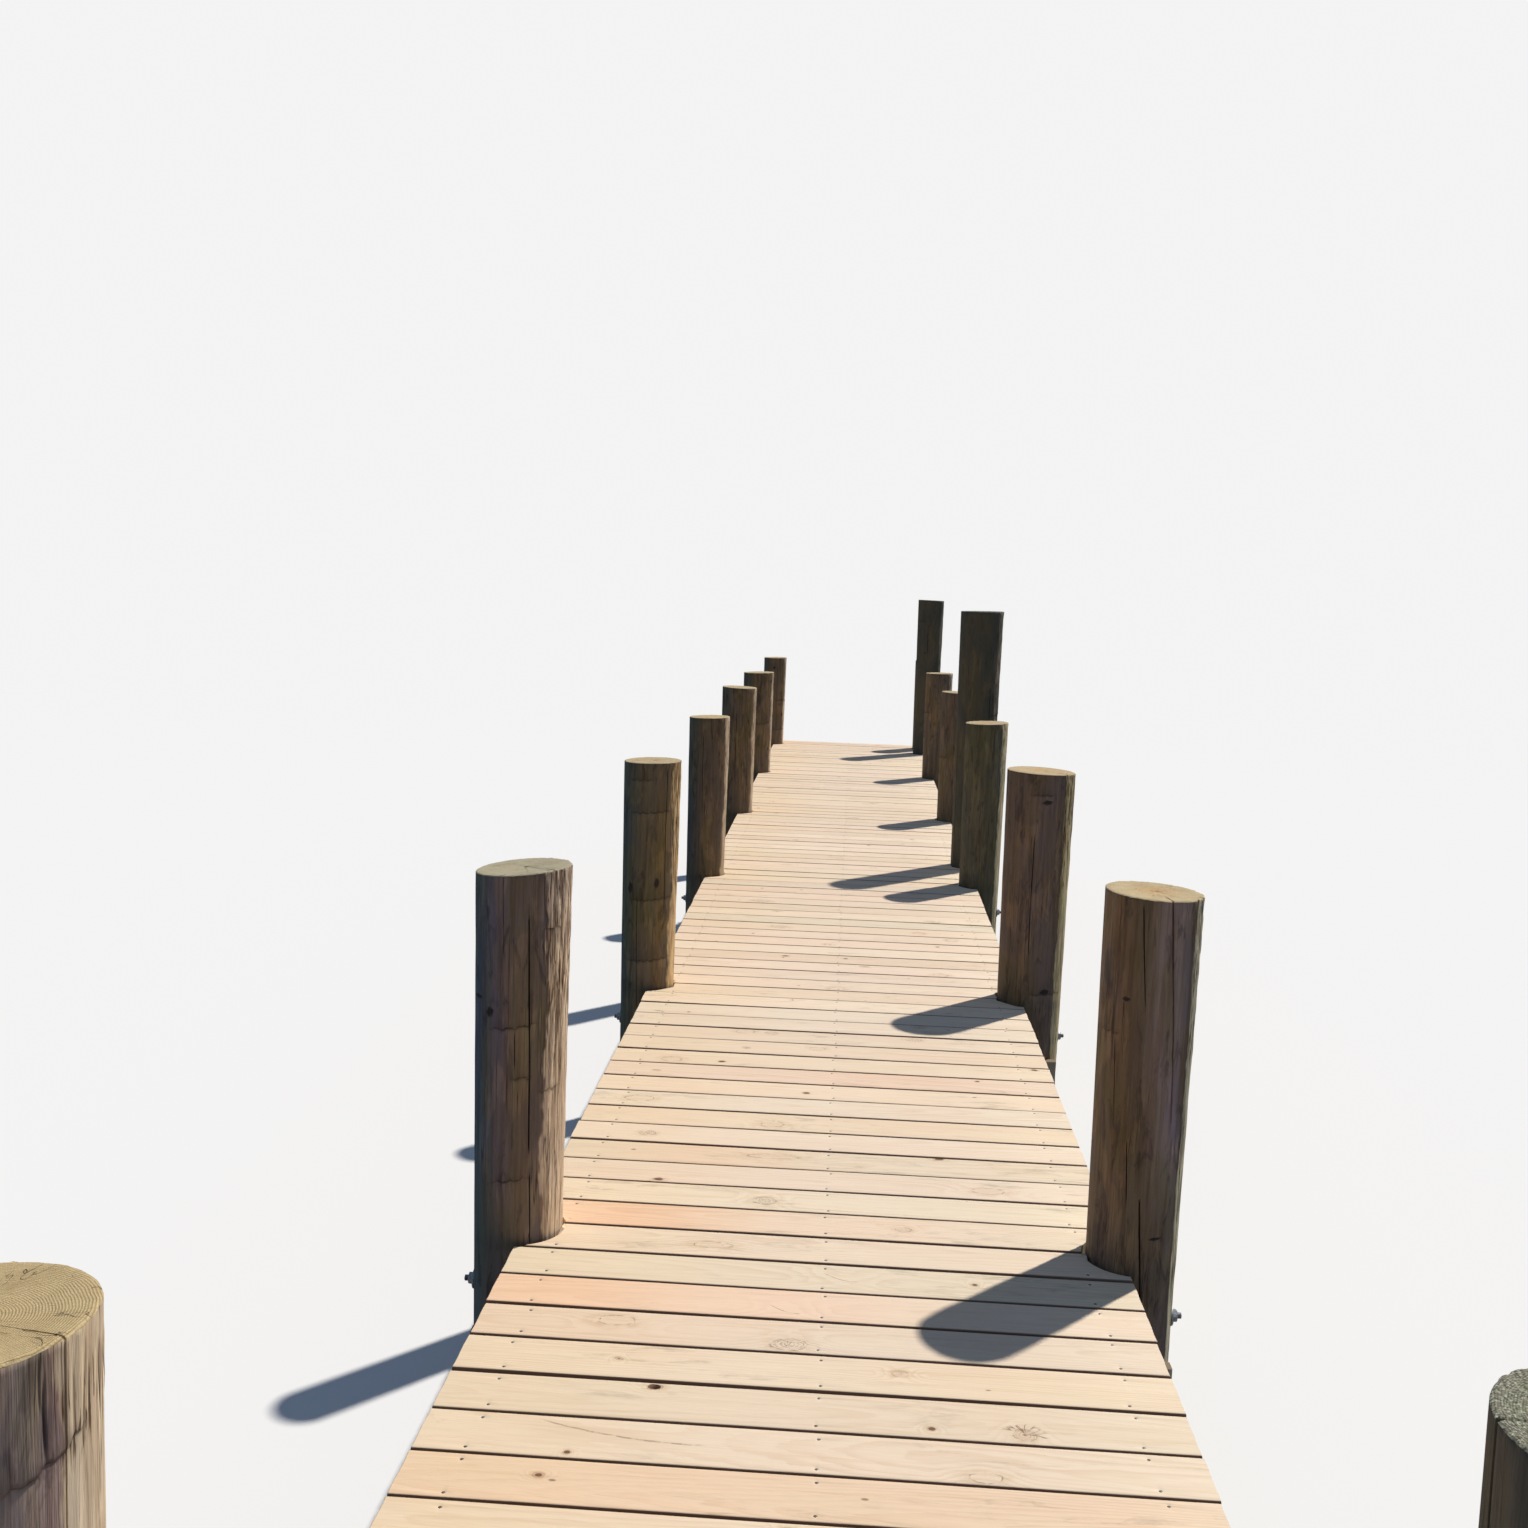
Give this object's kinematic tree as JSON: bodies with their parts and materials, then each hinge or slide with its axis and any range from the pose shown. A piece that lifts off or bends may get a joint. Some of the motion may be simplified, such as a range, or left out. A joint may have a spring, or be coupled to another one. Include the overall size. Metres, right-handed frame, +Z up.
{
  "type": "timber pile jetty section",
  "caption": "Straight fixed jetty: crosswise deck boards on stringers and split caps, carried by round timber piles that stand proud of the deck.",
  "frame": {"origin": "centre of the plan, on the level that the pile feet stand on", "axes": "+Y runs along the walkway towards the shore, +X to the right of someone walking that way, +Z up"},
  "size_m": [1.8512, 15, 2.83],
  "materials": {
    "deck_wood": "new sawn softwood, pale yellow tan",
    "pile_wood": "peeled round pile, brown with long drying checks",
    "old_pile_wood": "weathered round pile, grey green",
    "frame_wood": "treated sawn softwood, greenish tan",
    "pile_end_grain": "sawn end grain with growth rings",
    "galvanised_steel": "dull zinc coat"
  },
  "bodies": {
    "root": {"pile_left_1": "pile_wood", "pile_right_1": "old_pile_wood", "cap_1": "frame_wood", "pile_left_2": "pile_wood", "pile_right_2": "pile_wood", "cap_2": "frame_wood", "pile_left_3": "pile_wood", "pile_right_3": "pile_wood", "cap_3": "frame_wood", "pile_left_4": "pile_wood", "pile_right_4": "pile_wood", "cap_4": "frame_wood", "pile_left_5": "pile_wood", "pile_right_5": "pile_wood", "cap_5": "frame_wood", "pile_left_6": "pile_wood", "pile_right_6": "pile_wood", "cap_6": "frame_wood", "pile_left_7": "pile_wood", "pile_right_7": "pile_wood", "cap_7": "frame_wood", "tall_pile_1": "old_pile_wood", "tall_pile_2": "old_pile_wood", "stringer_left_1": "frame_wood", "stringer_left_2": "frame_wood", "stringer_left_3": "frame_wood", "stringer_middle_1": "frame_wood", "stringer_middle_2": "frame_wood", "stringer_middle_3": "frame_wood", "stringer_right_1": "frame_wood", "stringer_right_2": "frame_wood", "stringer_right_3": "frame_wood", "deck_bay_1": "deck_wood", "deck_bay_2": "deck_wood", "deck_bay_3": "deck_wood", "deck_bay_4": "deck_wood", "deck_bay_5": "deck_wood", "deck_bay_6": "deck_wood"}
  },
  "joints": []
}
